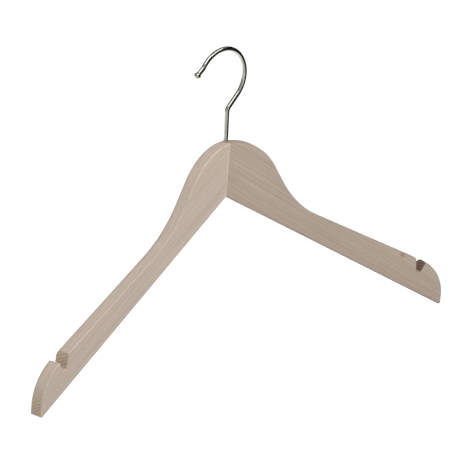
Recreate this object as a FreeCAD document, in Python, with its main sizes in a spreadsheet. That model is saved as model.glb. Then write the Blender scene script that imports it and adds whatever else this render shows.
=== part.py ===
import FreeCAD, Part
import math
import os
import Sketcher
from FreeCAD import Placement, Rotation, Vector

# A wooden clothes hanger: two mitred arms that sweep forward, and a wire hook that swivels between them.
# Lengths are in millimetres and angles in degrees. Heights are counted up from the point where the two
# undersides meet, on the hook's own axis. The finished pieces are then moved so that the origin is where
# a rail bears on the hook's crown.

os.makedirs("parts", exist_ok=True)
doc = FreeCAD.newDocument("clothes_hanger")

drivingSizes = (
    ("arm_thickness", 12.0, "front face to back face"),
    ("arm_reach", 226.5, "mitre to tip, along the arm's own plane"),
    ("sweep_angle", 11.2, "each arm leaves the mitre this far forward of square"),
    ("mitre_overlap", 12.0, "blank left past the mitre before it is cut"),
    ("underside_slope", 29.0, "fall of the underside"),
    ("shoulder_slope", 26.2, "fall of the shoulder line"),
    ("head_height", 44.7, "top of the head"),
    ("head_corner_out", 30.6, "where the head's top line would meet the neck line"),
    ("shoulder_corner_out", 70.2, "where the neck line would meet the shoulder line"),
    ("shoulder_corner_up", -17.1, "height of that corner"),
    ("tip_top_out", 209.6, "where the shoulder line turns down to the tip"),
    ("tip_side_up", -100.6, "where the turned-down line would meet the tip's upright end"),
    ("head_radius", 50.0, "dome of the head"),
    ("shoulder_radius", 96.0, "hollow between neck and shoulder"),
    ("tip_top_radius", 20.0, "first turn of the tip"),
    ("tip_end_radius", 36.0, "main round of the tip"),
    ("tip_corner_cut", 2.6, "taken off the lower corner of the tip, along each side"),
    ("front_round", 1.2, "rounding of the front edges"),
    ("back_round", 4.5, "rounding of the back edges"),
    ("notch_out", 196.4, "inner lip of the strap notch"),
    ("notch_foot_out", 197.8, "inner end of the notch's floor"),
    ("notch_floor_width", 4.0, "width of the notch's floor"),
    ("notch_floor_up", -92.0, "height of the notch's floor"),
    ("notch_far_out", 207.0, "outer lip of the strap notch"),
    ("notch_far_up", -83.4, "height of the outer lip"),
    ("notch_clearance", 8.0, "how far the notch's cutter runs past the lips"),
    ("notch_floor_radius", 1.3, "corners of the notch's floor"),
    ("notch_ease", 0.8, "sanded edges round the notch"),
    ("wire_radius", 1.9, "hook wire"),
    ("running_clearance", 0.05, "stem in its bush"),
    ("bore_radius", 2.2, "bore in the wood above the bush"),
    ("bush_radius", 2.9, "outside of the bush"),
    ("bush_low", 28.0, "foot of the bush"),
    ("bush_length", 14.0, "length of the bush"),
    ("cavity_radius", 4.5, "pocket round the stem's lower end"),
    ("cavity_low", 18.0, "floor of the pocket"),
    ("washer_radius", 4.2, "outside of the thrust washer"),
    ("washer_bore", 2.05, "hole of the thrust washer"),
    ("washer_height", 0.8, "thickness of the thrust washer"),
    ("collar_radius", 3.6, "outside of the stem's collar"),
    ("collar_height", 5.0, "length of the stem's collar"),
    ("collar_gap", 0.06, "play between collar and washer"),
    ("stem_below_collar", 0.8, "stem left past the collar, riveted over"),
    ("tongue_reach", 11.0, "half length of the loose tongue"),
    ("tongue_low", 2.8, "foot of the tongue"),
    ("tongue_height", 12.6, "height of the tongue"),
    ("tongue_thickness", 4.0, "thickness of the tongue"),
    ("tongue_forward", 1.0, "tongue's middle, forward of the hook's axis"),
    ("tongue_corner_radius", 2.0, "corners of the tongue"),
    ("glue_gap", 0.08, "play of the tongue in its slots"),
    ("lean_start", 49.0, "where the stem starts to lean, just above the wood"),
    ("lean_angle", 2.9, "lean of the stem above the wood"),
    ("lean_radius", 40.0, "bend into the lean"),
    ("bend_start", 69.3, "where the stem turns out towards the crown"),
    ("bend_radius", 6.0, "centre line of that turn"),
    ("crown_back", 9.25, "crown's centre, to the left of the hook's axis"),
    ("crown_up", 98.8, "height of the crown's centre"),
    ("crown_radius", 24.2, "centre line of the crown"),
    ("kick_radius", 7.0, "centre line of the outward turn before the ball"),
    ("ball_back", 36.2, "ball's centre, to the left of the hook's axis"),
    ("ball_up", 105.3, "height of the ball's centre"),
    ("ball_radius", 2.7, "ball tip"),
    ("tip_angle", 222.0, "direction of the wire as it runs into the ball"),
)

sheet = doc.addObject("Spreadsheet::Sheet", "Sizes")
for row, (alias, value, note) in enumerate(drivingSizes, start=1):
    sheet.set(f"A{row}", note)
    sheet.set(f"B{row}", str(value))
    sheet.setAlias(f"B{row}", alias)
doc.recompute()


def size(name):
    return float(getattr(sheet, name))


def value_of(expression):
    return float(sheet.evalExpression(expression))


def new_body(name):
    """A body for one piece, placed so that the rail's seat under the crown is the origin."""
    body = doc.addObject("PartDesign::Body", name)
    body.Label = name
    body.setExpression("Placement.Base.x", "Sizes.crown_back")
    body.setExpression("Placement.Base.z", "Sizes.wire_radius - Sizes.crown_up - Sizes.crown_radius")
    return body


def new_sketch(body, name, role):
    sketch = body.newObject("Sketcher::SketchObject", name)
    planes = [plane for plane in body.Origin.OriginFeatures if plane.Role == role]
    sketch.AttachmentSupport = [(planes[0], "")]
    sketch.MapMode = "FlatFace"
    return sketch


def bind_distance(sketch, kind, geometry, point, expression):
    """Hold one coordinate of a sketch point to an expression, counted from the sketch's origin."""
    value = value_of(expression)
    if abs(value) < 1e-9:
        axis = -2 if kind == "DistanceX" else -1
        sketch.addConstraint(Sketcher.Constraint("PointOnObject", geometry, point, axis))
        return
    if value > 0:
        index = sketch.addConstraint(Sketcher.Constraint(kind, -1, 1, geometry, point, value))
        sketch.setExpression(f"Constraints[{index}]", expression)
        return
    index = sketch.addConstraint(Sketcher.Constraint(kind, geometry, point, -1, 1, -value))
    sketch.setExpression(f"Constraints[{index}]", f"-({expression})")


def bind_radius(sketch, geometry, expression):
    constraint = Sketcher.Constraint("Radius", geometry, value_of(expression))
    index = sketch.addConstraint(constraint)
    sketch.setExpression(f"Constraints[{index}]", expression)


def draw_polygon(sketch, corners):
    """A closed outline of straight lines, its corners given as pairs of expressions."""
    points = [Vector(value_of(across), value_of(up), 0) for across, up in corners]
    count = len(points)
    for i in range(count):
        sketch.addGeometry(Part.LineSegment(points[i], points[(i + 1) % count]), False)
    for i in range(count):
        sketch.addConstraint(Sketcher.Constraint("Coincident", i, 2, (i + 1) % count, 1))
    for i, (across, up) in enumerate(corners):
        bind_distance(sketch, "DistanceX", i, 1, across)
        bind_distance(sketch, "DistanceY", i, 1, up)
    return points


def round_edges(body, name, feature, edges, radius):
    fillet = body.newObject("PartDesign::Fillet", name)
    fillet.Base = (feature, edges)
    fillet.setExpression("Radius", radius)
    doc.recompute()
    return fillet


def edge_nearest(shape, point):
    distances = [edge.CenterOfMass.distanceToPoint(point) for edge in shape.Edges]
    return f"Edge{distances.index(min(distances)) + 1}"


def cut(body, kind, name, sketch, settings, expressions):
    """A Pocket or Groove that has to take material away."""
    before = body.Shape.Volume
    feature = body.newObject(kind, name)
    feature.Profile = sketch
    for key, setting in settings.items():
        setattr(feature, key, setting)
    for key, expression in expressions.items():
        feature.setExpression(key, expression)
    doc.recompute()
    if body.Shape.Volume > before - 1.0:
        raise RuntimeError(f"{body.Label}: {name} cuts nothing")
    return feature


def turn_to_sweep(sketch, side):
    """Turn an upright sketch about the hook's axis, so that it lies in the arm's own plane."""
    axis = Vector(0, -side, 0)
    sketch.AttachmentOffset = Placement(Vector(0, 0, 0), Rotation(axis, size("sweep_angle")))
    sketch.setExpression("AttachmentOffset.Rotation.Angle", "Sizes.sweep_angle")


# ---- the two arms

def arm_blank(body, side):
    """The arm's outline sawn from a board, its corners rounded, then its front and back edges."""
    sketch = new_sketch(body, body.Label + "_outline", "XZ_Plane")
    turn_to_sweep(sketch, side)
    sign = "" if side > 0 else "-"
    corners = (
        (f"-({sign}Sizes.mitre_overlap)", "Sizes.mitre_overlap * tan(Sizes.underside_slope)"),
        (f"{sign}Sizes.arm_reach", "-Sizes.arm_reach * tan(Sizes.underside_slope)"),
        (f"{sign}Sizes.arm_reach", "Sizes.tip_side_up"),
        (f"{sign}Sizes.tip_top_out", "Sizes.shoulder_corner_up"
         " - (Sizes.tip_top_out - Sizes.shoulder_corner_out) * tan(Sizes.shoulder_slope)"),
        (f"{sign}Sizes.shoulder_corner_out", "Sizes.shoulder_corner_up"),
        (f"{sign}Sizes.head_corner_out", "Sizes.head_height"),
        (f"-({sign}Sizes.mitre_overlap)", "Sizes.head_height"),
    )
    points = draw_polygon(sketch, corners)
    blank = body.newObject("PartDesign::Pad", body.Label + "_board")
    blank.Profile = sketch
    blank.Midplane = True
    blank.setExpression("Length", "Sizes.arm_thickness")
    doc.recompute()
    turns = (
        (5, "head_radius"), (4, "shoulder_radius"), (3, "tip_top_radius"),
        (2, "tip_end_radius"),
    )
    feature = blank
    for corner, radius in turns:
        edge = edge_nearest(feature.Shape, sketch.Placement.multVec(points[corner]))
        feature = round_edges(body, f"{body.Label}_{radius}", feature, [edge], "Sizes." + radius)
    for face, radius in ((-1, "front_round"), (1, "back_round")):
        edges = face_edges(feature.Shape, sketch.Placement, face)
        feature = round_edges(body, f"{body.Label}_{radius}", feature, edges, "Sizes." + radius)
    return sketch


def face_edges(shape, plane, face):
    """Names of the edges round the front (-1) or back (1) face, but for the end past the mitre."""
    depth = -face * size("arm_thickness") / 2
    names = []
    for number, edge in enumerate(shape.Edges, start=1):
        points = [plane.inverse().multVec(point) for point in edge.discretize(5)]
        on_face = all(abs(point.z - depth) < 1e-4 for point in points)
        past_mitre = all(abs(abs(point.x) - size("mitre_overlap")) < 1e-4 for point in points)
        if on_face and not past_mitre:
            names.append(f"Edge{number}")
    return names


def cut_mitre(body, side):
    """Square off the arm on the plane where the two arms meet."""
    sketch = new_sketch(body, body.Label + "_mitre", "XZ_Plane")
    away = f"{'-' if side > 0 else ''}(Sizes.mitre_overlap * 2)"
    corners = (
        ("0", "-Sizes.mitre_overlap"), (away, "-Sizes.mitre_overlap"),
        (away, "Sizes.head_height * 2"), ("0", "Sizes.head_height * 2"),
    )
    draw_polygon(sketch, corners)
    through = {"Type": "ThroughAll", "Midplane": True}
    cut(body, "PartDesign::Pocket", body.Label + "_mitre_cut", sketch, through, {})


def cut_tip_corner(body, side):
    """Sand a small flat on the tip's sharp lower corner, at equal distances along both its sides."""
    sketch = new_sketch(body, body.Label + "_tip_corner", "XZ_Plane")
    turn_to_sweep(sketch, side)
    sign = "" if side > 0 else "-"
    low = "-Sizes.arm_reach * tan(Sizes.underside_slope)"
    bite = "Sizes.tip_corner_cut"
    level, fall = "cos(Sizes.underside_slope)", "sin(Sizes.underside_slope)"
    corners = (
        (f"{sign}(Sizes.arm_reach - 2 * {bite} * {level})", f"{low} + {bite} * (2 * {fall} - 1)"),
        (f"{sign}(Sizes.arm_reach + {bite} * {level})", f"{low} + {bite} * (2 - {fall})"),
        (f"{sign}(Sizes.arm_reach + {bite} * ({level} + 2 - 2 * {fall}))",
         f"{low} + {bite} * (2 - {fall} - 2 * {level})"),
        (f"{sign}(Sizes.arm_reach + 2 * {bite} * (1 - {fall} - {level}))",
         f"{low} + {bite} * (2 * {fall} - 1 - 2 * {level})"),
    )
    draw_polygon(sketch, corners)
    cut(body, "PartDesign::Pocket", body.Label + "_tip_corner_cut", sketch,
        {"Type": "ThroughAll", "Midplane": True}, {})


def cut_notch(body, side):
    """The strap notch: a nearly upright inner wall, a narrow floor and a sloping outer wall."""
    sketch = new_sketch(body, body.Label + "_notch", "XZ_Plane")
    turn_to_sweep(sketch, side)
    sign = "" if side > 0 else "-"
    run = "(Sizes.notch_far_out - Sizes.notch_foot_out - Sizes.notch_floor_width)"
    rise = "(Sizes.notch_far_up - Sizes.notch_floor_up)"
    inner_rise = ("(Sizes.shoulder_corner_up - (Sizes.notch_out - Sizes.shoulder_corner_out)"
                  " * tan(Sizes.shoulder_slope) - Sizes.notch_floor_up)")
    lean = f"((Sizes.notch_foot_out - Sizes.notch_out) / {inner_rise})"
    top = "(Sizes.notch_far_up + Sizes.notch_clearance)"
    corners = (
        (f"{sign}Sizes.notch_foot_out", "Sizes.notch_floor_up"),
        (f"{sign}(Sizes.notch_foot_out + Sizes.notch_floor_width)", "Sizes.notch_floor_up"),
        (f"{sign}(Sizes.notch_far_out + Sizes.notch_clearance * {run} / {rise})", top),
        (f"{sign}(Sizes.notch_foot_out - ({top} - Sizes.notch_floor_up) * {lean})", top),
    )
    points = draw_polygon(sketch, corners)
    notch = cut(body, "PartDesign::Pocket", body.Label + "_notch_cut", sketch,
                {"Type": "ThroughAll", "Midplane": True}, {})
    floor = [edge_nearest(notch.Shape, sketch.Placement.multVec(points[i])) for i in (0, 1)]
    floored = round_edges(body, body.Label + "_notch_floor", notch, floor, "Sizes.notch_floor_radius")
    lips = lip_edges(floored.Shape, sketch.Placement)
    round_edges(body, body.Label + "_notch_ease", floored, lips, "Sizes.notch_ease")


def lip_edges(shape, plane):
    """Names of the edges where the notch's two walls come out through the shoulder."""
    run = size("notch_far_out") - size("notch_foot_out") - size("notch_floor_width")
    rise = size("notch_far_up") - size("notch_floor_up")
    inner_rise = value_of(
        "Sizes.shoulder_corner_up - (Sizes.notch_out - Sizes.shoulder_corner_out)"
        " * tan(Sizes.shoulder_slope) - Sizes.notch_floor_up")
    lean = (size("notch_foot_out") - size("notch_out")) / inner_rise
    names = []
    for number, edge in enumerate(shape.Edges, start=1):
        points = [plane.inverse().multVec(point) for point in edge.discretize(5)]
        heights = [point.y - size("notch_floor_up") for point in points]
        inner = all(abs(abs(point.x) - size("notch_foot_out") + height * lean) < 0.01
                    for point, height in zip(points, heights))
        outer = all(abs(abs(point.x) - size("notch_foot_out") - size("notch_floor_width")
                        - height * run / rise) < 0.01 for point, height in zip(points, heights))
        across = abs(points[0].z - points[-1].z) > 0.5
        if (inner or outer) and across and min(heights) > size("notch_floor_radius") * 2:
            names.append(f"Edge{number}")
    return names


def cut_hook_seat(body):
    """Bore, bush seat and lower pocket, turned about the hook's axis. Each arm holds half of them."""
    sketch = new_sketch(body, body.Label + "_hook_seat", "XZ_Plane")
    bush_top = "Sizes.bush_low + Sizes.bush_length"
    corners = (
        ("0", "Sizes.cavity_low"), ("Sizes.cavity_radius", "Sizes.cavity_low"),
        ("Sizes.cavity_radius", "Sizes.bush_low"), ("Sizes.bush_radius", "Sizes.bush_low"),
        ("Sizes.bush_radius", bush_top), ("Sizes.bore_radius", bush_top),
        ("Sizes.bore_radius", "Sizes.head_height * 1.1"), ("0", "Sizes.head_height * 1.1"),
    )
    draw_polygon(sketch, corners)
    cut(body, "PartDesign::Groove", body.Label + "_hook_bore", sketch,
        {"ReferenceAxis": (sketch, ["V_Axis"]), "Angle": 360.0}, {})


def tongue_rectangle(body, name, play):
    """The loose tongue's outline, or with some play its slot's, in an upright plane across the mitre."""
    sketch = new_sketch(body, name, "XZ_Plane")
    sketch.setExpression("AttachmentOffset.Base.z", "Sizes.tongue_forward")
    reach = f"(Sizes.tongue_reach + {play})"
    low = f"(Sizes.tongue_low - {play})"
    high = f"(Sizes.tongue_low + Sizes.tongue_height + {play})"
    corners = ((f"-{reach}", low), (reach, low), (reach, high), (f"-{reach}", high))
    return sketch, draw_polygon(sketch, corners)


def make_arm(name, side):
    body = new_body(name)
    arm_blank(body, side)
    cut_mitre(body, side)
    cut_tip_corner(body, side)
    cut_notch(body, side)
    cut_hook_seat(body)
    slot, _ = tongue_rectangle(body, name + "_tongue_slot", "Sizes.glue_gap")
    cut(body, "PartDesign::Pocket", name + "_tongue_cut", slot, {"Midplane": True},
        {"Length": "Sizes.tongue_thickness + 2 * Sizes.glue_gap"})
    return body


def make_joint_tongue():
    """The loose tongue glued into both arms, across the mitre and below the hook's pocket."""
    body = new_body("joint_tongue")
    sketch, points = tongue_rectangle(body, "joint_tongue_outline", "0")
    pad = body.newObject("PartDesign::Pad", "joint_tongue_board")
    pad.Profile = sketch
    pad.Midplane = True
    pad.setExpression("Length", "Sizes.tongue_thickness")
    doc.recompute()
    edges = [edge_nearest(pad.Shape, sketch.Placement.multVec(point)) for point in points]
    round_edges(body, "joint_tongue_corners", pad, edges, "Sizes.tongue_corner_radius")
    return body


# ---- what holds the stem

def make_ring(name, outer, inner, low, height):
    """A plain ring on the hook's axis, between two heights."""
    body = new_body(name)
    sketch = new_sketch(body, name + "_section", "XY_Plane")
    sketch.setExpression("AttachmentOffset.Base.z", low)
    for number, radius in enumerate((outer, inner)):
        circle = Part.Circle(Vector(0, 0, 0), Vector(0, 0, 1), value_of(radius))
        sketch.addGeometry(circle, False)
        sketch.addConstraint(Sketcher.Constraint("Coincident", number, 3, -1, 1))
        bind_radius(sketch, number, radius)
    pad = body.newObject("PartDesign::Pad", name + "_length")
    pad.Profile = sketch
    pad.setExpression("Length", height)
    doc.recompute()
    return body


washerLow = "Sizes.bush_low - Sizes.washer_height"
collarLow = f"{washerLow} - Sizes.collar_gap - Sizes.collar_height"
stemLow = f"{collarLow} - Sizes.stem_below_collar"


def make_swivel_bush():
    bore = "Sizes.wire_radius + Sizes.running_clearance"
    return make_ring("swivel_bush", "Sizes.bush_radius", bore, "Sizes.bush_low", "Sizes.bush_length")


def make_thrust_washer():
    return make_ring(
        "thrust_washer", "Sizes.washer_radius", "Sizes.washer_bore", washerLow, "Sizes.washer_height")


def make_stem_collar():
    """The collar pressed and riveted on the stem's end: it bears on the washer when the hanger is loaded."""
    return make_ring(
        "stem_collar", "Sizes.collar_radius", "Sizes.wire_radius", collarLow, "Sizes.collar_height")


# ---- the hook

def heading(angle):
    return Vector(math.cos(math.radians(angle)), math.sin(math.radians(angle)), 0)


def arc_between(centre, start, end):
    """A sketch arc that runs anticlockwise from start to end."""
    circle = Part.Circle(centre, Vector(0, 0, 1), (start - centre).Length)
    return Part.ArcOfCircle(circle, circle.parameter(start), circle.parameter(end))


def wire_path():
    """The wire's centre line as sketch geometry, each piece with whether it runs start to end."""
    lean = size("lean_angle")
    lean_centre = Vector(-size("lean_radius"), size("lean_start"), 0)
    lean_top = lean_centre + heading(lean) * size("lean_radius")
    up = heading(90 + lean)
    bend_foot = lean_top + up * ((size("bend_start") - lean_top.y) / up.y)
    bend_centre = bend_foot + heading(lean) * size("bend_radius")
    crown = Vector(-size("crown_back"), size("crown_up"), 0)
    reach = size("crown_radius") + size("bend_radius")
    between = crown - bend_centre
    turn = math.asin(reach / between.Length)
    out = math.degrees(math.atan2(between.y, between.x) - turn)
    bend_top = bend_centre + heading(out + 90) * size("bend_radius")
    crown_foot = crown + heading(out - 90) * size("crown_radius")
    ball = Vector(-size("ball_back"), size("ball_up"), 0)
    tip = heading(size("tip_angle"))
    beside = ball + heading(size("tip_angle") - 90) * size("kick_radius")
    span = size("crown_radius") + size("kick_radius")
    offset = beside - crown
    along = offset.dot(tip)
    back = -along + math.sqrt(along ** 2 - offset.dot(offset) + span ** 2)
    kick_centre = beside + tip * back
    kick_end = kick_centre - heading(size("tip_angle") - 90) * size("kick_radius")
    crown_end = crown + (kick_centre - crown).normalize() * size("crown_radius")
    stem_foot = Vector(0, value_of(stemLow), 0)
    stem_top = Vector(0, size("lean_start"), 0)
    return (
        (Part.LineSegment(stem_foot, stem_top), True),
        (arc_between(lean_centre, stem_top, lean_top), True),
        (Part.LineSegment(lean_top, bend_foot), True),
        (arc_between(bend_centre, bend_top, bend_foot), False),
        (Part.LineSegment(bend_top, crown_foot), True),
        (arc_between(crown, crown_foot, crown_end), True),
        (arc_between(kick_centre, kick_end, crown_end), False),
        (Part.LineSegment(kick_end, ball), True),
    )


def make_hook_wire():
    """One length of round wire: a plain stem, a turn out, the crown and a short outward kick."""
    body = new_body("hook_wire")
    path = new_sketch(body, "hook_wire_path", "XZ_Plane")
    pieces = wire_path()
    for piece, _ in pieces:
        path.addGeometry(piece, False)
    for i in range(len(pieces) - 1):
        leaving = 2 if pieces[i][1] else 1
        entering = 1 if pieces[i + 1][1] else 2
        path.addConstraint(Sketcher.Constraint("Tangent", i, leaving, i + 1, entering))
    path.addConstraint(Sketcher.Constraint("Vertical", 0))
    bind_distance(path, "DistanceX", 0, 1, "0")
    bind_distance(path, "DistanceY", 0, 1, stemLow)
    bind_distance(path, "DistanceY", 0, 2, "Sizes.lean_start")
    bind_distance(path, "DistanceY", 2, 2, "Sizes.bend_start")
    bind_distance(path, "DistanceX", 5, 3, "-Sizes.crown_back")
    bind_distance(path, "DistanceY", 5, 3, "Sizes.crown_up")
    bind_distance(path, "DistanceX", 7, 2, "-Sizes.ball_back")
    bind_distance(path, "DistanceY", 7, 2, "Sizes.ball_up")
    arcs = ((1, "lean_radius"), (3, "bend_radius"), (5, "crown_radius"), (6, "kick_radius"))
    for geometry, radius in arcs:
        bind_radius(path, geometry, "Sizes." + radius)
    section = new_sketch(body, "hook_wire_section", "XY_Plane")
    section.setExpression("AttachmentOffset.Base.z", stemLow)
    circle = Part.Circle(Vector(0, 0, 0), Vector(0, 0, 1), size("wire_radius"))
    section.addGeometry(circle, False)
    section.addConstraint(Sketcher.Constraint("Coincident", 0, 3, -1, 1))
    bind_radius(section, 0, "Sizes.wire_radius")
    doc.recompute()
    wire = body.newObject("PartDesign::AdditivePipe", "hook_wire_bent")
    wire.Profile = section
    wire.Spine = (path, [])
    doc.recompute()
    expected = math.pi * size("wire_radius") ** 2 * path.Shape.Length
    if abs(body.Shape.Volume / expected - 1) > 0.005:
        raise RuntimeError("hook_wire: volume doesn't match its section and length")
    return body


def make_hook_ball_tip():
    """The ball on the free end, bored to its centre for the wire, so that nothing snags a collar."""
    ball = doc.addObject("Part::Sphere", "ball")
    ball.setExpression("Radius", "Sizes.ball_radius")
    bore = doc.addObject("Part::Cylinder", "ball_bore")
    bore.setExpression("Radius", "Sizes.wire_radius")
    bore.setExpression("Height", "Sizes.ball_radius * 2")
    tip = doc.addObject("Part::Cut", "hook_ball_tip")
    tip.Label = "hook_ball_tip"
    tip.Base = ball
    tip.Tool = bore
    back_along_wire = heading(size("tip_angle") + 180)
    turned = Rotation(Vector(0, 0, 1), Vector(back_along_wire.x, 0, back_along_wire.y))
    tip.Placement = Placement(Vector(0, 0, 0), turned)
    tip.setExpression("Placement.Base.x", "Sizes.crown_back - Sizes.ball_back")
    tip.setExpression("Placement.Base.z",
                      "Sizes.ball_up - Sizes.crown_up - Sizes.crown_radius + Sizes.wire_radius")
    doc.recompute()
    return tip


pieces = [
    make_arm("left_arm", -1),
    make_arm("right_arm", 1),
    make_joint_tongue(),
    make_swivel_bush(),
    make_thrust_washer(),
    make_stem_collar(),
    make_hook_wire(),
    make_hook_ball_tip(),
]
doc.recompute()

for item in doc.Objects:
    if "Invalid" in item.State or "Error" in item.State:
        raise RuntimeError(f"{item.Label} failed: {item.State}")

for piece in pieces:
    shape = piece.Shape
    if shape.isNull() or not shape.isValid() or len(shape.Solids) != 1:
        raise RuntimeError(f"{piece.Label} isn't one valid solid")
    shape.exportStep(f"parts/{piece.Label}.step")
    box = shape.BoundBox
    extent = f"{box.XLength:.2f} x {box.YLength:.2f} x {box.ZLength:.2f} mm"
    print(f"{piece.Label}: {extent}, {shape.Volume:.0f} mm3")
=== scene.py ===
import math

import bpy
from mathutils import Matrix, Vector


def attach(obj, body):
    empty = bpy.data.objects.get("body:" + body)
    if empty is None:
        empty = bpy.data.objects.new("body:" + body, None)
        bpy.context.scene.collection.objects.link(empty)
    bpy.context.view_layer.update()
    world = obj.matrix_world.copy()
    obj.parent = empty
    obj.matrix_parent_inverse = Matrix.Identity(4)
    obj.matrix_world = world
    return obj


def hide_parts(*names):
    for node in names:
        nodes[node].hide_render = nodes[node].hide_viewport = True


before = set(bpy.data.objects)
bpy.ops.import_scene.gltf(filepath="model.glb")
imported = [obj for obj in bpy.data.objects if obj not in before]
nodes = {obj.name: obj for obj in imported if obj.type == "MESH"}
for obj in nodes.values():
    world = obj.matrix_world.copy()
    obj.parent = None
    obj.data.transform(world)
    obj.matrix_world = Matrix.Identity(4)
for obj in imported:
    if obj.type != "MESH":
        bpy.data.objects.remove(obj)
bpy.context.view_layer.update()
print("frame loaded:", len(nodes), "nodes")

# the mitre plane, and the underside's V where the two arms meet
mitreX = 0.00925
mitreFoot = (mitreX, 0.0, -0.1211)

# most of a noise's values lie between these two
noiseLow = 0.3
noiseHigh = 0.7


def fromHex(code):
    # sRGB hex to the linear colour that nodes take
    channels = [int(code[i:i + 2], 16) / 255 for i in (0, 2, 4)]
    return [c / 12.92 if c <= 0.04045 else ((c + 0.055) / 1.055) ** 2.4 for c in channels] + [1.0]


def grey(value):
    return [value, value, value, 1.0]


def newMaterial(name):
    material = bpy.data.materials.new(name)
    material.use_nodes = True
    material.node_tree.nodes.clear()
    return material, material.node_tree


def addNode(tree, kind, settings=None):
    # a setting is a ramp's stops, a socket to link from, a socket's value or one of the node's own fields
    node = tree.nodes.new(kind)
    for key, value in (settings or {}).items():
        if key == "stops":
            while len(node.color_ramp.elements) < len(value):
                node.color_ramp.elements.new(0.5)
            for element, (position, tone) in zip(node.color_ramp.elements, value):
                element.position = position
                element.color = tone if isinstance(tone, list) else grey(tone)
        elif isinstance(value, bpy.types.NodeSocket):
            tree.links.new(value, node.inputs[key])
        elif isinstance(key, int) or key in node.inputs:
            node.inputs[key].default_value = value
        else:
            setattr(node, key, value)
    return node


def giveMaterial(piece, material):
    piece.data.materials.clear()
    piece.data.materials.append(material)
    for face in piece.data.polygons:
        face.material_index = 0


# beech, planed and sanded, then given a thin matt clear coat over a pale wash:
# the eye gets a pinkish beige with long soft streaks, short flecks, and browner end grain, which also
# carries painted shade in the notch
beechLook = {
    "pale": "C4B4A3",
    "mid": "BCAC9B",
    "dark": "B3A291",
    "line": "9E8A77",
    "fleck": "9B8775",
    # the end grain's own brown, darkened further as painted shade for the deep notch wall
    "end": "877362",
    "endRing": "6C594B",
    "knot": "9A6A55",
    "lineStrength": 0.75,      # how plainly the growth lines show
    "paintedEdgeShadeTone": 0.80,          # painted shade on the rounded front edges, against the face
    "stripTone": 1.0,          # the strip beside the mitre, against the face
    "roughness": 0.56,
    "smoother": 0.07,
    "rougher": 0.09,
    "coat": 0.06,
    "coatRoughness": 0.35,
    "specular": 0.35,
    "ior": 1.5,
    "relief": 0.00006,
    "reliefStrength": 0.5,
}
# the left arm is from a quieter, paler board
quietBeechLook = dict(beechLook)
quietBeechLook.update({
    "pale": "D0C1B2",
    "mid": "CABAAB",
    "dark": "C3B2A3",
    "line": "B3A08E",
    "end": "C8B59D",
    "endRing": "A48D77",
    "lineStrength": 0.18,
    "paintedEdgeShadeTone": 0.99,
    "stripTone": 1.07,
})
# the tongue is left as the saw cut it
sawnBeechLook = dict(beechLook)
sawnBeechLook.update({
    "roughness": 0.7,
    "relief": 0.0002,
})

# the board's noises: a cell's length along the grain and its width across it in metres, how far
# the pattern is moved, and the noise's detail, roughness and distortion
boardNoises = {
    "streaks": (0.160, 0.0024, 0.0, 4.0, 0.55, 0.35),
    "cloud": (0.090, 0.035, 4.0, 2.0, 0.50, 0.0),      # the slow change of tone from end to end
    "bend": (0.075, 0.030, 9.0, 3.0, 0.50, 0.0),       # what makes the growth lines wander
    "patches": (0.030, 0.012, 17.0, 2.0, 0.60, 0.0),   # where the growth lines fade
    "flecks": (0.0050, 0.0008, 23.0, 2.0, 0.70, 0.0),  # coarser than the real 1 to 3 by 0.2 mm, to show
}
# the board's ramps: places, each with a grey or with one of the look's colours
boardRamps = {
    "streaks": ((0.30, "dark"), (0.50, "mid"), (0.72, "pale")),
    "cloud": ((0.3, 0.95), (0.7, 1.03)),
    "growth": ((0.0, 0.0), (0.55, 0.12), (0.86, 1.0), (1.0, 0.0)),      # across one growth ring
    "flecks": ((0.60, 0.0), (0.74, 0.55)),
    "endGrain": ((0.55, 0.0), (0.90, 1.0)),                             # by how squarely it cuts the fibres
    "edges": ((0.15, 0.0), (0.45, 1.0), (0.90, 1.0), (0.995, 0.0)),     # by how squarely it looks forward
    "knot": ((0.0003, 0.7), (0.0015, 0.0)),                             # metres from the knot's middle
}
board = {
    "seedSteps": (3.1, 1.7, 2.3),
    "ringSpacing": 0.0024,
    "ringWander": 0.012,       # how far a growth line strays
    "ringTilt": 0.35,          # the rings' slope through the board's thickness
    "streakRelief": 0.5,       # the streaks' share of the relief, against the flecks'
    "stripFull": 0.0018,       # metres from the mitre plane, where the paler strip starts to fade
    "stripGone": 0.0039,
}


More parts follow.
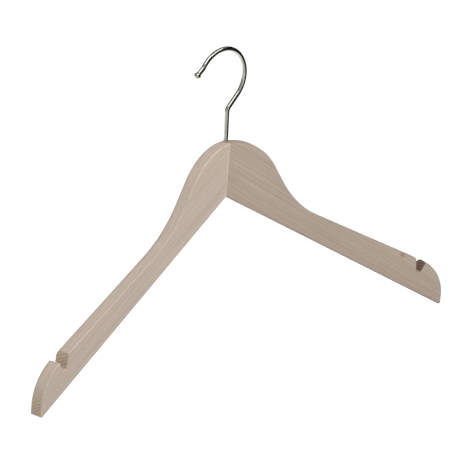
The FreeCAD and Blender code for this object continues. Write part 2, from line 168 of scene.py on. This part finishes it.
def makeBeech(name, turn, seed, look, knotAt=None):
    # turn lays the pattern's x along the arm's grain
    material, tree = newMaterial(name)
    ramps = {}
    for ramp, stops in boardRamps.items():
        ramps[ramp] = [(at, fromHex(look[tone]) if isinstance(tone, str) else tone) for at, tone in stops]
    place = addNode(tree, "ShaderNodeTexCoord")
    along = addNode(tree, "ShaderNodeMapping", {
        "vector_type": "TEXTURE",
        "Location": mitreFoot,
        "Rotation": [math.radians(angle) for angle in turn],
        "Vector": place.outputs["Object"],
    })
    seedX, seedY, seedZ = (seed * step for step in board["seedSteps"])
    noises = {}
    for noise, (length, width, shift, detail, roughness, distortion) in boardNoises.items():
        cells = addNode(tree, "ShaderNodeMapping", {
            "Location": (seedX + shift, seedY, seedZ - shift),
            "Scale": (1 / length, 1 / width, 1 / width),
            "Vector": along.outputs["Vector"],
        })
        noises[noise] = addNode(tree, "ShaderNodeTexNoise", {
            "Scale": 1.0,
            "Detail": detail,
            "Roughness": roughness,
            "Distortion": distortion,
            "Vector": cells.outputs["Vector"],
        }).outputs["Fac"]

    streakTone = addNode(tree, "ShaderNodeValToRGB", {"stops": ramps["streaks"], "Fac": noises["streaks"]})
    cloudTone = addNode(tree, "ShaderNodeValToRGB", {"stops": ramps["cloud"], "Fac": noises["cloud"]})

    # growth lines: bands across the board, bent by a long slow noise so that they wander
    axes = addNode(tree, "ShaderNodeSeparateXYZ", {"Vector": along.outputs["Vector"]})
    wander = addNode(tree, "ShaderNodeMath", {
        "operation": "MULTIPLY", 0: noises["bend"], 1: board["ringWander"]})
    tilt = addNode(tree, "ShaderNodeMath", {
        "operation": "MULTIPLY_ADD", 0: axes.outputs["Y"], 1: board["ringTilt"], 2: axes.outputs["Z"]})
    depth = addNode(tree, "ShaderNodeMath", {
        "operation": "ADD", 0: tilt.outputs[0], 1: wander.outputs[0]})
    rings = addNode(tree, "ShaderNodeMath", {
        "operation": "MULTIPLY", 0: depth.outputs[0], 1: 1 / board["ringSpacing"]})
    saw = addNode(tree, "ShaderNodeMath", {"operation": "FRACT", 0: rings.outputs[0]})
    growth = addNode(tree, "ShaderNodeValToRGB", {"stops": ramps["growth"], "Fac": saw.outputs[0]})
    lines = addNode(tree, "ShaderNodeMath", {
        "operation": "MULTIPLY", 0: growth.outputs["Color"], 1: noises["patches"]})
    softLines = addNode(tree, "ShaderNodeMath", {
        "operation": "MULTIPLY", 0: lines.outputs[0], 1: look["lineStrength"]})

    # ray flecks and pores
    fleckMask = addNode(tree, "ShaderNodeValToRGB", {"stops": ramps["flecks"], "Fac": noises["flecks"]})

    # end grain shows where a face cuts across the fibres: browner wood, and its dark colour also paints the
    # shade deep in the right arm's notch
    lean = Matrix.Rotation(math.radians(turn[2]), 3, "Z") @ Matrix.Rotation(math.radians(turn[1]), 3, "Y")
    cutting = addNode(tree, "ShaderNodeVectorMath", {
        "operation": "DOT_PRODUCT", 0: place.outputs["Normal"], 1: lean @ Vector((1.0, 0.0, 0.0))})
    squarely = addNode(tree, "ShaderNodeMath", {"operation": "ABSOLUTE", 0: cutting.outputs["Value"]})
    endMask = addNode(tree, "ShaderNodeValToRGB", {"stops": ramps["endGrain"], "Fac": squarely.outputs[0]})
    endGrainAndShadeTone = addNode(tree, "ShaderNodeMix", {
        "data_type": "RGBA",
        0: growth.outputs["Color"],
        6: fromHex(look["end"]),
        7: fromHex(look["endRing"]),
    })

    # painted shade: the rounded front edges, turned away from the light, are darkened, so a thin dark line
    # runs round the face
    forward = addNode(tree, "ShaderNodeVectorMath", {
        "operation": "DOT_PRODUCT", 0: place.outputs["Normal"], 1: lean @ Vector((0.0, -1.0, 0.0))})
    paintedEdgeShadeMask = addNode(tree, "ShaderNodeValToRGB", {
        "stops": ramps["edges"], "Fac": forward.outputs["Value"]})

    # a paler strip runs beside the glued mitre, fading out away from the mitre plane
    position = addNode(tree, "ShaderNodeSeparateXYZ", {"Vector": place.outputs["Object"]})
    fromMitre = addNode(tree, "ShaderNodeMath", {
        "operation": "SUBTRACT", 0: position.outputs["X"], 1: mitreX})
    gap = addNode(tree, "ShaderNodeMath", {"operation": "ABSOLUTE", 0: fromMitre.outputs[0]})
    nearMitre = addNode(tree, "ShaderNodeMapRange", {
        "From Min": board["stripFull"],
        "From Max": board["stripGone"],
        "To Min": 1.0,
        "To Max": 0.0,
        "Value": gap.outputs[0],
    })

    # what lies over the streaks: how it is mixed, how much of it, and its colour
    layers = [
        ("MULTIPLY", 1.0, cloudTone.outputs["Color"]),
        ("MIX", softLines.outputs[0], fromHex(look["line"])),
        ("MIX", fleckMask.outputs["Color"], fromHex(look["fleck"])),
        # browner end grain, partly painted shade on the notch wall
        ("MIX", endMask.outputs["Color"], endGrainAndShadeTone.outputs[2]),
        # painted shade on the rounded front edges
        ("MULTIPLY", paintedEdgeShadeMask.outputs["Color"], grey(look["paintedEdgeShadeTone"])),
        ("MULTIPLY", nearMitre.outputs[0], grey(look["stripTone"])),
    ]
    if knotAt:
        # one small reddish pin knot
        reach = addNode(tree, "ShaderNodeVectorMath", {
            "operation": "DISTANCE", 0: place.outputs["Object"], 1: knotAt})
        spot = addNode(tree, "ShaderNodeValToRGB", {"stops": ramps["knot"], "Fac": reach.outputs["Value"]})
        layers.append(("MIX", spot.outputs["Color"], fromHex(look["knot"])))
    colour = streakTone.outputs["Color"]
    for blend, amount, tone in layers:
        colour = addNode(tree, "ShaderNodeMix", {
            "data_type": "RGBA", "blend_type": blend, 0: amount, 6: colour, 7: tone}).outputs[2]

    relief = addNode(tree, "ShaderNodeMath", {
        "operation": "MULTIPLY_ADD", 0: noises["streaks"], 1: board["streakRelief"], 2: noises["flecks"]})
    bump = addNode(tree, "ShaderNodeBump", {
        "Strength": look["reliefStrength"], "Distance": look["relief"], "Height": relief.outputs[0]})
    rough = addNode(tree, "ShaderNodeMapRange", {
        "From Min": noiseLow,
        "From Max": noiseHigh,
        "To Min": look["roughness"] - look["smoother"],
        "To Max": look["roughness"] + look["rougher"],
        "Value": noises["flecks"],
    })
    shader = addNode(tree, "ShaderNodeBsdfPrincipled", {
        "IOR": look["ior"],
        "Coat Weight": look["coat"],
        "Coat Roughness": look["coatRoughness"],
        "Specular IOR Level": look["specular"],
        "Base Color": colour,
        "Roughness": rough.outputs[0],
        "Normal": bump.outputs[0],
    })
    addNode(tree, "ShaderNodeOutputMaterial", {"Surface": shader.outputs[0]})
    return material


# each arm's grain runs from the head down to the tip, and both arms lean forward by sweep
grain = {
    "sweep": 11.2,
    "rightDown": 32.0,
    "leftDown": 28.0,
    "rightSeed": 1.0,
    "leftSeed": 5.0,
    "tongueSeed": 8.0,
    "knot": (0.1862, -0.0412, -0.1949),
}
rightBeech = makeBeech("beech_sanded_matt_right", (0.0, grain["rightDown"], -grain["sweep"]),
                       grain["rightSeed"], beechLook, knotAt=grain["knot"])
leftBeech = makeBeech("beech_sanded_matt_left", (0.0, -grain["leftDown"], grain["sweep"]),
                      grain["leftSeed"], quietBeechLook)
sawnBeech = makeBeech("beech_sawn_tongue", (0.0, 0.0, 0.0), grain["tongueSeed"], sawnBeechLook)
print("beech made")

# bright nickel on drawn steel wire: a warm grey mirror with faint drawing marks
wireLook = {
    "bright": "CFCFC6",
    "dull": "C3C3B9",
    "roughness": 0.07,
    "clouds": 0.006,
    "marks": 0.0006,
    "relief": 0.000004,
}
# drawn brass tube: a soft yellow shine, a little tarnished
brassLook = {
    "bright": "D8B46A",
    "dull": "B08F4E",
    "roughness": 0.28,
    "clouds": 0.004,
    "marks": 0.0004,
    "relief": 0.00002,
}
# plain turned steel: a grey satin with fine marks
steelLook = {
    "bright": "BFC0C0",
    "dull": "9A9B9B",
    "roughness": 0.36,
    "clouds": 0.003,
    "marks": 0.0003,
    "relief": 0.00002,
}
# what the three metals share
metalSurface = {
    "cloudDetail": 3.0,
    "cloudRoughness": 0.6,
    "markDetail": 2.0,
    "markRoughness": 0.5,
    "dullBelow": 0.35,
    "brightAbove": 0.62,
    "smoothest": 0.75,         # shares of the look's roughness
    "roughest": 1.35,
    "reliefStrength": 0.25,
}


def makeMetal(name, look):
    material, tree = newMaterial(name)
    place = addNode(tree, "ShaderNodeTexCoord")
    clouds = addNode(tree, "ShaderNodeTexNoise", {
        "Scale": 1 / look["clouds"],
        "Detail": metalSurface["cloudDetail"],
        "Roughness": metalSurface["cloudRoughness"],
        "Vector": place.outputs["Object"],
    })
    marks = addNode(tree, "ShaderNodeTexNoise", {
        "Scale": 1 / look["marks"],
        "Detail": metalSurface["markDetail"],
        "Roughness": metalSurface["markRoughness"],
        "Vector": place.outputs["Object"],
    })
    colour = addNode(tree, "ShaderNodeValToRGB", {
        "stops": ((metalSurface["dullBelow"], fromHex(look["dull"])),
                  (metalSurface["brightAbove"], fromHex(look["bright"]))),
        "Fac": clouds.outputs["Fac"],
    })
    rough = addNode(tree, "ShaderNodeMapRange", {
        "From Min": noiseLow,
        "From Max": noiseHigh,
        "To Min": look["roughness"] * metalSurface["smoothest"],
        "To Max": look["roughness"] * metalSurface["roughest"],
        "Value": marks.outputs["Fac"],
    })
    bump = addNode(tree, "ShaderNodeBump", {
        "Strength": metalSurface["reliefStrength"],
        "Distance": look["relief"],
        "Height": marks.outputs["Fac"],
    })
    shader = addNode(tree, "ShaderNodeBsdfPrincipled", {
        "Metallic": 1.0,
        "Base Color": colour.outputs["Color"],
        "Roughness": rough.outputs[0],
        "Normal": bump.outputs[0],
    })
    addNode(tree, "ShaderNodeOutputMaterial", {"Surface": shader.outputs[0]})
    return material


nickelWire = makeMetal("nickel_plated_drawn_wire", wireLook)
drawnBrass = makeMetal("brass_drawn_tube", brassLook)
turnedSteel = makeMetal("steel_turned_plain", steelLook)
for nodeName, material in (
    ("hook_wire", nickelWire),
    ("hook_ball_tip", nickelWire),
    ("swivel_bush", drawnBrass),
    ("thrust_washer", turnedSteel),
    ("stem_collar", turnedSteel),
    ("joint_tongue", sawnBeech),
):
    giveMaterial(nodes[nodeName], material)
print("metal made")

# the arms: a merged copy of each CAD arm, its sharp edges eased with sandpaper
armShape = {
    "mergeWithin": 0.000002,
    "flatWithin": 0.3,         # degrees
    "ease": 0.0005,
    "easeAbove": 35.0,         # degrees
    "easeSegments": 3,
    "smoothBelow": 40.0,       # degrees
}


def easeArm(nodeName, material):
    piece = bpy.data.objects.new(nodeName + "_wood", nodes[nodeName].data.copy())
    bpy.context.scene.collection.objects.link(piece)
    bpy.ops.object.select_all(action="DESELECT")
    bpy.context.view_layer.objects.active = piece
    piece.select_set(True)
    bpy.ops.object.mode_set(mode="EDIT")
    bpy.ops.mesh.select_all(action="SELECT")
    bpy.ops.mesh.remove_doubles(threshold=armShape["mergeWithin"])
    bpy.ops.mesh.dissolve_limited(angle_limit=math.radians(armShape["flatWithin"]))
    bpy.ops.object.mode_set(mode="OBJECT")
    ease = piece.modifiers.new("ease", "BEVEL")
    ease.width = armShape["ease"]
    ease.segments = armShape["easeSegments"]
    ease.limit_method = "ANGLE"
    ease.angle_limit = math.radians(armShape["easeAbove"])
    ease.use_clamp_overlap = True
    bpy.ops.object.modifier_apply(modifier=ease.name)
    bpy.ops.object.shade_smooth_by_angle(angle=math.radians(armShape["smoothBelow"]))
    flat = piece.modifiers.new("flat", "WEIGHTED_NORMAL")
    flat.keep_sharp = True
    bpy.ops.object.modifier_apply(modifier=flat.name)
    giveMaterial(piece, material)
    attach(piece, "hanger")
    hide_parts(nodeName)
    piece.select_set(False)


easeArm("left_arm", leftBeech)
easeArm("right_arm", rightBeech)
print("arms eased")

# the room: a wide matt white floor well below the hanging object
room = {
    "floorSize": 60.0,
    "floorHeight": -1.6,
    "wallRadius": 18.0,
    "wallHeight": 24.0,
    "wallSides": 96,
    "paint": "F4F3F0",
    "paintMottle": "F1F0ED",
    "mottleScale": 1.5,
    "mottleDetail": 2.0,
    "paintRoughness": 0.9,
    "glow": "FFFFFF",
    "glowStrength": 0.70,
    "sky": "FFFFFF",
    "skyStrength": 0.46,
}
bpy.ops.object.select_all(action="DESELECT")
bpy.ops.mesh.primitive_plane_add(size=room["floorSize"], location=(0.0, 0.0, room["floorHeight"]))
floor = bpy.context.object
floor.name = "floor"
whitePaint, tree = newMaterial("matt_white_floor_paint")
place = addNode(tree, "ShaderNodeTexCoord")
mottle = addNode(tree, "ShaderNodeTexNoise", {
    "Scale": room["mottleScale"], "Detail": room["mottleDetail"], "Vector": place.outputs["Object"]})
paint = addNode(tree, "ShaderNodeValToRGB", {
    "stops": ((noiseLow, fromHex(room["paintMottle"])), (noiseHigh, fromHex(room["paint"]))),
    "Fac": mottle.outputs["Fac"],
})
shader = addNode(tree, "ShaderNodeBsdfPrincipled", {
    "Roughness": room["paintRoughness"],
    "Emission Color": fromHex(room["glow"]),
    "Emission Strength": room["glowStrength"],
    "Base Color": paint.outputs["Color"],
})
addNode(tree, "ShaderNodeOutputMaterial", {"Surface": shader.outputs[0]})
giveMaterial(floor, whitePaint)

# a round white wall far behind, which only the camera sees, so that low views have no dark horizon
bpy.ops.mesh.primitive_cylinder_add(
    vertices=room["wallSides"], radius=room["wallRadius"], depth=room["wallHeight"],
    end_fill_type="NOTHING", location=(0.0, 0.0, room["floorHeight"] + room["wallHeight"] / 2))
wall = bpy.context.object
wall.name = "wall"
giveMaterial(wall, whitePaint)
for ray in ("diffuse", "glossy", "shadow", "transmission"):
    setattr(wall, "visible_" + ray, False)

world = bpy.data.worlds.new("studio")
bpy.context.scene.world = world
world.use_nodes = True
background = world.node_tree.nodes["Background"]
background.inputs["Color"].default_value = fromHex(room["sky"])
background.inputs["Strength"].default_value = room["skyStrength"]

# softboxes: place, width and height in metres, and watts
softboxes = {
    "above": ((0.7, -1.4, 1.65), 1.6, 1.4, 20.0),
    "upperLeft": ((-1.0, -0.4, 1.9), 1.4, 1.4, 13.0),
    "front": ((-0.2, -2.6, 0.3), 1.4, 1.4, 9.0),
}
lampAim = Vector((0.0, 0.0, -0.12))
for lampName, (lampPlace, lampWidth, lampHeight, watts) in softboxes.items():
    lamp = bpy.data.lights.new(lampName, "AREA")
    lamp.shape = "RECTANGLE"
    lamp.size = lampWidth
    lamp.size_y = lampHeight
    lamp.energy = watts
    holder = bpy.data.objects.new(lampName, lamp)
    holder.location = lampPlace
    holder.rotation_euler = (lampAim - Vector(lampPlace)).to_track_quat("-Z", "Y").to_euler()
    bpy.context.scene.collection.objects.link(holder)
print("room and lights made")

# the camera: a long lens, a little above the hanger and to its left
cameraSetup = {
    "azimuth": -44.73,
    "elevation": 20.13,
    "roll": 4.684,
    "distance": 2.583,
    "lens": 250.1,
    "sensor": 36.0,
    "farthest": 100.0,
    "aim": (0.010163, -0.015296, -0.148992),
}
camera = bpy.data.cameras.new("camera")
camera.lens = cameraSetup["lens"]
camera.sensor_width = cameraSetup["sensor"]
camera.clip_end = cameraSetup["farthest"]
cameraObject = bpy.data.objects.new("camera", camera)
levelTurn = (Matrix.Rotation(math.radians(cameraSetup["azimuth"]), 4, "Z")
             @ Matrix.Rotation(math.radians(90.0 - cameraSetup["elevation"]), 4, "X"))
level = levelTurn.to_3x3()
backward = level @ Vector((0.0, 0.0, 1.0))
rolledTurn = levelTurn @ Matrix.Rotation(math.radians(cameraSetup["roll"]), 4, "Z")
cameraObject.matrix_world = (
    Matrix.Translation(Vector(cameraSetup["aim"]) + backward * cameraSetup["distance"]) @ rolledTurn)
bpy.context.scene.collection.objects.link(cameraObject)
bpy.context.scene.camera = cameraObject
bpy.context.scene.view_settings.view_transform = "Standard"
print("camera made")

# felt cards that the camera doesn't see: the metal mirrors them, which gives the wire its dark edges,
# and the one under the object holds back the floor's light from the undersides
feltLook = {
    "blackDeep": "080808",
    "blackNap": "141414",
    "greyDeep": "EDEDE6",
    "greyNap": "F4F4EE",
    "napScale": 400.0,
    "roughness": 0.95,
}


def makeFelt(name, deep, nap):
    felt, tree = newMaterial(name)
    place = addNode(tree, "ShaderNodeTexCoord")
    fibres = addNode(tree, "ShaderNodeTexNoise", {
        "Scale": feltLook["napScale"], "Vector": place.outputs["Object"]})
    tone = addNode(tree, "ShaderNodeValToRGB", {
        "stops": ((noiseLow, fromHex(deep)), (noiseHigh, fromHex(nap))),
        "Fac": fibres.outputs["Fac"],
    })
    shader = addNode(tree, "ShaderNodeBsdfPrincipled", {
        "Roughness": feltLook["roughness"], "Base Color": tone.outputs["Color"]})
    addNode(tree, "ShaderNodeOutputMaterial", {"Surface": shader.outputs[0]})
    return felt


blackFelt = makeFelt("black_felt_card", feltLook["blackDeep"], feltLook["blackNap"])
greyFelt = makeFelt("pale_grey_felt_card", feltLook["greyDeep"], feltLook["greyNap"])
# each card: metres to the camera's right, up and towards it, width, height, felt, the rays that see it
cards = {
    "card_left": ((-1.35, 1.1, -0.55), 2.8, 3.0, blackFelt, "glossy"),
    "card_right": ((1.35, 0.0, 0.15), 3.8, 3.0, blackFelt, "glossy"),
    "card_above": ((0.0, 1.3, -1.1), 2.6, 1.8, blackFelt, "glossy"),
    "card_below": ((0.0, -1.5, 0.6), 6.0, 6.0, greyFelt, "glossy"),
    "card_under": ((0.0, -0.7, 0.0), 1.6, 1.6, blackFelt, "diffuse"),
}
cardAim = Vector(mitreFoot)
for cardName, (cardPlace, cardWidth, cardHeight, felt, rays) in cards.items():
    bpy.ops.mesh.primitive_plane_add(size=1.0)
    card = bpy.context.object
    card.name = cardName
    centre = cardAim + level @ Vector(cardPlace)
    turn = (cardAim - centre).to_track_quat("Z", "Y").to_matrix().to_4x4()
    card.data.transform(Matrix.Translation(centre) @ turn
                        @ Matrix.Diagonal((cardWidth, cardHeight, 1.0, 1.0)))
    giveMaterial(card, felt)
    for ray in ("camera", "diffuse", "glossy", "shadow", "transmission"):
        setattr(card, "visible_" + ray, ray == rays)
print("cards made")
